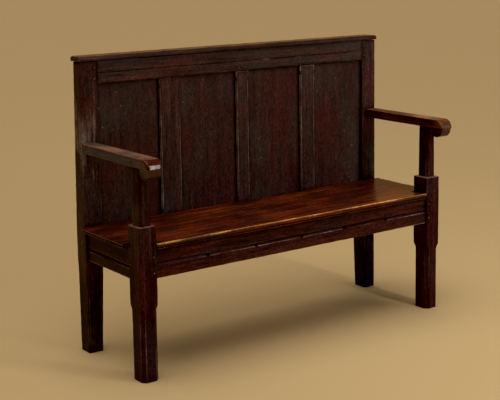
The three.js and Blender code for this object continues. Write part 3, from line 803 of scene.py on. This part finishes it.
# %% The looks of the posts
# Waxed oak of the front posts: close to black, a little red and hardly glossy. The arrises
# are knocked down to pinkish wood, and that pink also paints a highlight on the blocks' shoulders.
# The grey-brown of rubbed places paints the sheen of the haze on the left block.
looks_of["post_oak"] = {
    "name": "waxed_oak_post",
    "tones": ("#190809", "#301416", "#4f2421"),
    "contrast": 0.11,
    "flush": "#3b191a",
    "bloom": "#2f1e22",
    "worn_and_sheen": "#3e332f",
    "bare_and_highlight": "#8a5e50",
    "grime_and_shade": "#0b0403",
    "gloss": (0.32, 0.55),
    "wax": 0.04,
    "relief": 0.5,
    "specks": 0.6,
}
# Waxed oak of the rear posts: dull, with a milky haze at the height of the arms that is partly
# a painted sheen.
looks_of["stile_oak"] = {
    "name": "waxed_oak_stile",
    "tones": ("#1c1110", "#382623", "#5a3c34"),
    "contrast": 0.12,
    "flush": "#502622",
    "bloom": "#403533",
    "worn_and_sheen": "#a09488",
    "bare_and_highlight": "#a0705e",
    "grime_and_shade": "#1a0806",
    "gloss": (0.34, 0.56),
    "wax": 0.05,
    "relief": 0.5,
    "specks": 1.0,
}
print("looks:", ", ".join(looks_of))

# %% Age the posts
post_wave = 0.4 * mm
post_wear = 0.97
# the shoulder's pale line is wear and a painted highlight
shoulder_reach = 4 * mm
shoulder_evenness = 0.85
shoulder_most = 1.35
# the haze is old wax and a painted sheen, strongest on the left
block_haze_and_sheen_reach = 400 * mm
block_haze_and_sheen_evenness = 0.5
block_haze_and_sheen_most = {"left": 0.55, "right": 0}
stile_haze_and_sheen_reach = 330 * mm
stile_haze_and_sheen_evenness = 0.3
stile_haze_and_sheen_most = {"left": 0.5, "right": 0.1}
arm_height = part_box("arm_left")[1].z
# the rear legs are painted darker below the rear rail, as dirt and as the shade under the seat
leg_fade = 120 * mm
leg_dark = (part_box("rear_seat_rail")[0].z, leg_fade)
outer_slack = 1 * mm  # corners this near the post's outer side count as lying on it


def shoulder_of(post):
    """The height of the block's flat top: the highest point that is as far out as the block."""
    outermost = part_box(post)[1].x - outer_slack
    return max(corner.co.z for corner in solids[post].data.vertices if corner.co.x > outermost)


for end in ("left", "right"):
    shoulder_line = {Z: shoulder_of(f"front_post_{end}")}
    shoulder = (shoulder_line, shoulder_reach, shoulder_evenness, shoulder_most)
    block_haze_and_sheen = (shoulder_line, block_haze_and_sheen_reach, block_haze_and_sheen_evenness, block_haze_and_sheen_most[end])
    aged(f"front_post_{end}", Z, post_wave, post_wear, rub=block_haze_and_sheen, bare_and_highlight=shoulder)
    stile_haze_and_sheen = ({Z: arm_height}, stile_haze_and_sheen_reach, stile_haze_and_sheen_evenness, stile_haze_and_sheen_most[end])
    aged(
        f"rear_post_{end}",
        Z,
        post_wave,
        post_wear,
        rub=stile_haze_and_sheen,
        look="stile_oak",
        dark_below=leg_dark,
    )

# %% [markdown]
# ## The seat rails
#
# The rails under the seat carry a groove with five holes. A rope once ran through the holes and
# along the groove, and carried a cushion or a rush mat before the board seat was laid over it.
# Holes can be faked with a dark patch, but these are cut in the solids, so they keep their depth
# from every side. Here they only gather grime, and shade is painted in them and in the groove.
# Heels have rubbed the lower half of the front rail, which makes it a lighter brown.

# %% The look of the rails
# Waxed oak of the seat's rails: a deep red-brown, lighter where heels have rubbed it.
looks_of["rail_oak"] = {
    "name": "waxed_oak_seat_rail",
    "tones": ("#180a09", "#351817", "#522c25"),
    "contrast": 0.12,
    "flush": "#401b18",
    "bloom": "#2b1a1a",
    "worn_and_sheen": "#4e261d",
    "bare_and_highlight": "#a88c80",
    "grime_and_shade": "#0b0403",
    "gloss": (0.34, 0.56),
    "wax": 0.05,
    "relief": 0.5,
    "specks": 0.6,
}
print("looks:", ", ".join(looks_of))

# %% Age the rails and the bearer behind the seat
rail_wave = 0.5 * mm
rail_wear = 1.1
heel_reach = 75 * mm
heel_evenness = 0.7
heel_most = 0.8
heeled = ({Z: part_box("front_seat_rail")[0].z}, heel_reach, heel_evenness, heel_most)

aged("front_seat_rail", X, rail_wave, rail_wear, rub=heeled)
for name in ("rear_seat_rail", "seat_bearer"):
    aged(name, X, rail_wave, rail_wear)
for end in ("left", "right"):
    aged(f"side_seat_rail_{end}", Y, rail_wave, rail_wear)

# %% [markdown]
# ## The framed back
#
# Four thin panels float in grooves between the muntins, so they can swell and shrink. Riven or
# sawn panels bow a little. A modifier could bend them, but the wave that every timber has does it
# along the grain, so it is only made deeper here. The cap board is nailed on last. Its top has
# lost its stain to dusting and to hands, and is the lightest line of the back; the pale brown
# there is also a painted reflection of the wall.

# %% The looks of the back
# Waxed oak of the back's frame: a warmer brown that is polished enough for soft reflections,
# with clear pale edges.
looks_of["frame_oak"] = {
    "name": "waxed_oak_back_frame",
    "tones": ("#1e1110", "#3b2623", "#5d3931"),
    "contrast": 0.12,
    "flush": "#502622",
    "bloom": "#3a2d2a",
    "worn_and_sheen": "#a08a7e",
    "bare_and_highlight": "#a08a7e",
    "grime_and_shade": "#140706",
    "gloss": (0.26, 0.48),
    "wax": 0.1,
    "relief": 0.5,
    "specks": 1.0,
}
# Waxed oak of the panels: cloudy with old wax, speckled and duller than their frame.
looks_of["panel_oak"] = {
    "name": "waxed_oak_panel",
    "tones": ("#1d100f", "#37211e", "#4d2b25"),
    "contrast": 0.15,
    "flush": "#461a1b",
    "bloom": "#3b302b",
    "worn_and_sheen": "#8a766c",
    "bare_and_highlight": "#8a766c",
    "grime_and_shade": "#0b0504",
    "gloss": (0.34, 0.58),
    "wax": 0.09,
    "relief": 0.5,
    "specks": 1.0,
}
# Waxed oak of the cap board: like the back's frame, with its top worn down to brown wood,
# which also paints the wall's reflection there.
looks_of["cap_oak"] = {
    "name": "waxed_oak_cap",
    "tones": ("#1c100f", "#36231f", "#55342c"),
    "contrast": 0.12,
    "flush": "#502622",
    "bloom": "#382a27",
    "worn_and_sheen": "#6a4a2c",
    "bare_and_highlight": "#6a4a2c",
    "grime_and_shade": "#140706",
    "gloss": (0.26, 0.48),
    "wax": 0.1,
    "relief": 0.5,
    "specks": 1.0,
}
print("looks:", ", ".join(looks_of))

# %% Age the top rail and the cap
back_wear = 0.8
cap_wave = 2.4 * mm
# the cap's pale top is worn wood and a painted reflection of the wall
cap_bare_and_reflection_reach = 3.5 * mm
cap_evenness = 0.6
cap_most = 1.6
cap_top = ({Z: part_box("cap_board")[1].z}, cap_bare_and_reflection_reach, cap_evenness, cap_most)

aged("top_rail", X, rail_wave, back_wear)
aged("cap_board", X, cap_wave, back_wear, bare_and_highlight=cap_top, look="cap_oak")

# %% Age the muntins and the panels
muntin_wear = 1.25
panel_wave = 1.0 * mm

for number in (1, 2, 3):
    aged(f"muntin_{number}", Z, rail_wave, muntin_wear)
for number in (1, 2, 3, 4):
    aged(f"back_panel_{number}", Z, panel_wave, back_wear)

# %% [markdown]
# ## Seat and arms
#
# These are the pieces that people touch. The seat's front edge is rubbed to a golden brown, and
# that gold also paints a highlight along it. The scrolled end of the left arm is the glossiest
# spot on the bench. A second material for the worn places would stop at a line. The marks fade
# from the worn edge into the board instead, and one finish reads them. The arms are worn bare along
# the top, where people lean, and they are painted dark under the scrolls, as dirt and as the shade
# where no hand and little light gets.

# %% The looks of the seat and the arms
# Rubbed oak of the seat: the reddest board and a glossy one, worn to gold along its front,
# where the gold also paints a highlight.
looks_of["seat_oak"] = {
    "name": "rubbed_oak_seat",
    "tones": ("#260b08", "#481a0f", "#86401c"),
    "contrast": 0.14,
    "flush": "#6d2a13",
    "bloom": "#2a110d",
    "worn_and_sheen": "#e8a556",
    "bare_and_highlight": "#c98a48",
    "grime_and_shade": "#160806",
    "gloss": (0.22, 0.36),
    "wax": 0.14,
    "relief": 0.3,
    "specks": 0.0,
}
# Handled oak of the left arm: greyish under dust, but red and shining where hands hold it.
looks_of["arm_oak"] = {
    "name": "handled_oak_arm",
    "tones": ("#241a1b", "#3f3034", "#5c4540"),
    "contrast": 0.12,
    "flush": "#4c1d1a",
    "bloom": "#35333d",
    "worn_and_sheen": "#461a0a",
    "bare_and_highlight": "#8c6247",
    "grime_and_shade": "#0d0504",
    "gloss": (0.42, 0.55),
    "wax": 0.22,
    "relief": 0.2,
    "specks": 0.3,
}
# Bleached oak of the right arm: light has turned it orange-brown and opened its grain.
looks_of["right_arm_oak"] = {
    "name": "bleached_oak_arm",
    "tones": ("#1e0d08", "#3a1c0f", "#6e3c20"),
    "contrast": 0.12,
    "flush": "#5c2410",
    "bloom": "#3a2016",
    "worn_and_sheen": "#6e4224",
    "bare_and_highlight": "#9a6a40",
    "grime_and_shade": "#120604",
    "gloss": (0.42, 0.55),
    "wax": 0.25,
    "relief": 0.6,
    "specks": 0.3,
}
print("looks:", ", ".join(looks_of))

# %% Age the seat
seat_wave = 0.8 * mm
seat_wear = 0.7
# the golden line along the front is wear and a painted highlight
seat_rub_and_highlight_reach = 10 * mm
seat_evenness = 0.65
seat_most = 1
nose_round = 6 * mm
seat_low, seat_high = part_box("seat_board")
seat_arris = {Y: seat_low.y + nose_round, Z: seat_high.z}
sat_on_and_highlight = (seat_arris, seat_rub_and_highlight_reach, seat_evenness, seat_most)

aged("seat_board", X, seat_wave, seat_wear, rub=sat_on_and_highlight)

# %% Age the arms
arm_wave = 0.4 * mm
arm_wear = 1.3
arm_looks = {"left": "arm_oak", "right": "right_arm_oak"}
scroll_in = 18 * mm  # the middle of the scroll is this far behind the arm's nose
scroll_middle = 15 * mm  # and this far below its top
arm_rub_reach = 60 * mm
arm_evenness = 1
arm_rub_most = {"left": 1.6, "right": 0.8}
arm_bare_reach = 4 * mm
arm_bare_evenness = 0.8
arm_bare_most = 1.1
# under each scroll the arm is painted dark, as dirt and as shade
scroll_drop = {"left": 32 * mm, "right": 50 * mm}  # how far below the top it begins to darken
scroll_fade = 20 * mm

for end in ("left", "right"):
    arm_low, arm_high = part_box(f"arm_{end}")
    scroll = {Y: arm_low.y + scroll_in, Z: arm_high.z - scroll_middle}
    held = (scroll, arm_rub_reach, arm_evenness, arm_rub_most[end])
    leant_on = ({Z: arm_high.z}, arm_bare_reach, arm_bare_evenness, arm_bare_most)
    aged(
        f"arm_{end}",
        Y,
        arm_wave,
        arm_wear,
        rub=held,
        bare_and_highlight=leant_on,
        look=arm_looks[end],
        dark_below=(arm_high.z - scroll_drop[end], scroll_fade),
    )
print(len(timbers), "timbers,", sum(len(timber.data.polygons) for timber in timbers), "faces")

# %% [markdown]
# ## Pegs
#
# Thirty-two pegs lock the joints. A peg is split from dry oak and shaved to eight facets with a
# knife, so no two are alike. They could be modelled one by one, but a whittled peg is a rule, and
# Geometry Nodes are made for rules: a short line is swept with an eight-sided ring, whose size a
# curve draws from the rounded head to the tapered point. The tree puts one on each marked spot,
# turns it at random and roughens it.

# %% The look of the pegs
# End grain of the pegs: it drinks the wax, so it stays matt, and it is paler than the timbers.
looks_of["peg_oak"] = {
    "name": "oak_end_grain_peg",
    "tones": ("#2a1a16", "#463029", "#6d5343"),
    "contrast": 0.12,
    "flush": "#5a3b2e",
    "bloom": "#6a574a",
    "worn_and_sheen": "#a58e78",
    "bare_and_highlight": "#a58e78",
    "grime_and_shade": "#1a0e0a",
    "gloss": (0.5, 0.7),
    "wax": 0.2,
    "relief": 0.5,
    "specks": 0.0,
}
print("looks:", ", ".join(looks_of))

# %% Mark the spots from the frame
peg_names = sorted(name for name in solids if name.startswith("peg_"))
heads, ways, lengths = [], [], []
for name in peg_names:
    low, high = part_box(name)
    size = high - low
    axis = max((X, Y, Z), key=lambda i: size[i])
    way = unit(axis)
    head = (low + high) / 2
    head[axis] = low[axis]
    if axis == Z or (axis == X and head.x > 0):
        head[axis] = high[axis]
        way = -way
    heads.append(head)
    ways.append(way)
    lengths.append(size[axis])

spots = bpy.data.meshes.new("peg_spots")
spots.from_pydata(heads, [], [])
for mark, way in zip(spots.attributes.new("way", "FLOAT_VECTOR", "POINT").data, ways):
    mark.vector = way
for mark, length in zip(spots.attributes.new("length", "FLOAT", "POINT").data, lengths):
    mark.value = length
print(len(heads), "pegs, the longest", round(max(lengths) / mm), "mm")

# %% Open a tree with named inputs
peg_low, peg_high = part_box("peg_seat_left")
peg_settings = {
    # name of the input: its kind and its value
    "Radius": ("NodeSocketFloat", (peg_high - peg_low).x / 2),
    "Facets": ("NodeSocketInt", 8),
    "Rings": ("NodeSocketInt", 22),
    "Roughness": ("NodeSocketFloat", 0.35 * mm),
    "Mark Size": ("NodeSocketFloat", 6 * mm),
    "Seed": ("NodeSocketInt", 5),
}

grow = bpy.data.node_groups.new("whittled_pegs", "GeometryNodeTree")
grow.interface.new_socket("Spots", in_out="INPUT", socket_type="NodeSocketGeometry")
for name, (kind, _) in peg_settings.items():
    grow.interface.new_socket(name, in_out="INPUT", socket_type=kind)
grow.interface.new_socket("Pegs", in_out="OUTPUT", socket_type="NodeSocketGeometry")
given = add(grow, "NodeGroupInput").outputs
print(len(peg_settings), "settings for the pegs")

# %% Sweep one peg
up = (0, 0, 1)  # also the end of the line, which each peg's length then stretches
girth_shares = [(0, 0.8), (0.02, 0.97), (0.06, 1), (0.75, 0.95), (1, 0.7)]  # from head to point
anywhere = (0.5, 1)  # where a new point of the curve starts, before it is moved

line = add(grow, "GeometryNodeCurvePrimitiveLine", {"Start": (0, 0, 0), "End": up})
ringed = add(
    grow,
    "GeometryNodeResampleCurve",
    {"Curve": line.outputs[0], "Count": given["Rings"]},
)
along = add(grow, "GeometryNodeSplineParameter")
girth = add(grow, "ShaderNodeFloatCurve", {"Value": along.outputs["Factor"]})
drawn = girth.mapping.curves[0].points
while len(drawn) < len(girth_shares):
    drawn.new(*anywhere)
for point, girth_share in zip(drawn, girth_shares):
    point.location = girth_share
girth.mapping.update()
ring = add(
    grow,
    "GeometryNodeCurvePrimitiveCircle",
    {"Resolution": given["Facets"], "Radius": given["Radius"]},
)
peg = add(
    grow,
    "GeometryNodeCurveToMesh",
    {
        "Curve": ringed.outputs[0],
        "Profile Curve": ring.outputs[0],
        "Scale": girth.outputs[0],
        "Fill Caps": True,
    },
)
print(len(drawn), "points draw the girth")

# %% Put a peg on each spot
RANDOM_MAX = 3  # socket of the Random Value node's highest number

way = add(grow, "GeometryNodeInputNamedAttribute", {"Name": "way"}, data_type="FLOAT_VECTOR")
length = add(grow, "GeometryNodeInputNamedAttribute", {"Name": "length"}, data_type="FLOAT")
turn = add(
    grow,
    "FunctionNodeRandomValue",
    {RANDOM_MAX: math.tau, "Seed": given["Seed"]},
    data_type="FLOAT",
).outputs[1]
spun = add(grow, "FunctionNodeAxisAngleToRotation", {"Axis": up, "Angle": turn})
aimed = add(
    grow,
    "FunctionNodeAlignRotationToVector",
    {"Rotation": spun.outputs[0], "Vector": way.outputs[0]},
    axis="Z",
)
stretch = add(grow, "ShaderNodeCombineXYZ", {"X": 1, "Y": 1, "Z": length.outputs[0]})
points = add(grow, "GeometryNodeMeshToPoints", {"Mesh": given["Spots"]})
placed = add(
    grow,
    "GeometryNodeInstanceOnPoints",
    {
        "Points": points.outputs[0],
        "Instance": peg.outputs[0],
        "Rotation": aimed.outputs[0],
        "Scale": stretch.outputs[0],
    },
)
real = add(grow, "GeometryNodeRealizeInstances", {"Geometry": placed.outputs[0]})
print("the pegs are placed with", len(grow.nodes), "nodes")

# %% Roughen and coat the pegs
knife_detail = 1  # a knife leaves broad smooth facets, so the noise has hardly any detail

position = add(grow, "GeometryNodeInputPosition")
mark_size = add(grow, "ShaderNodeCombineXYZ", {axis: given["Mark Size"] for axis in "XYZ"})
place = add(
    grow,
    "ShaderNodeVectorMath",
    {0: position.outputs[0], 1: mark_size.outputs[0]},
    operation="DIVIDE",
)
cuts = add(
    grow,
    "ShaderNodeTexNoise",
    {"Vector": place.outputs[0], "Scale": 1, "Detail": knife_detail},
)
centred = add(
    grow,
    "ShaderNodeVectorMath",
    {0: cuts.outputs["Color"], 1: (noise_middle, noise_middle, noise_middle)},
    operation="SUBTRACT",
)
offset = add(
    grow,
    "ShaderNodeVectorMath",
    {0: centred.outputs[0], "Scale": given["Roughness"]},
    operation="SCALE",
)
cut = add(
    grow,
    "GeometryNodeSetPosition",
    {"Geometry": real.outputs[0], "Offset": offset.outputs[0]},
)
coated = add(
    grow,
    "GeometryNodeSetMaterial",
    {"Geometry": cut.outputs[0], "Material": finish_of("peg_oak", Y)},
)
add(grow, "NodeGroupOutput", {"Pegs": coated.outputs[0]})
print("the whole tree has", len(grow.nodes), "nodes")

# %% Turn the grown pegs into one plain mesh
seedling = bpy.data.objects.new("peg_seedling", spots)
collection.objects.link(seedling)
grower = seedling.modifiers.new("grow", "NODES")
grower.node_group = grow
for item in grow.interface.items_tree:
    if item.in_out == "INPUT" and item.name in peg_settings:
        grower[item.identifier] = peg_settings[item.name][1]
bpy.context.view_layer.update()
evaluated = seedling.evaluated_get(bpy.context.evaluated_depsgraph_get())
grown = bpy.data.meshes.new_from_object(evaluated)
bpy.data.objects.remove(seedling)

pegs = bpy.data.objects.new("whittled_pegs", grown)
collection.objects.link(pegs)
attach(pegs, "root")
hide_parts(*peg_names)
print(len(grown.polygons), "faces on the pegs")
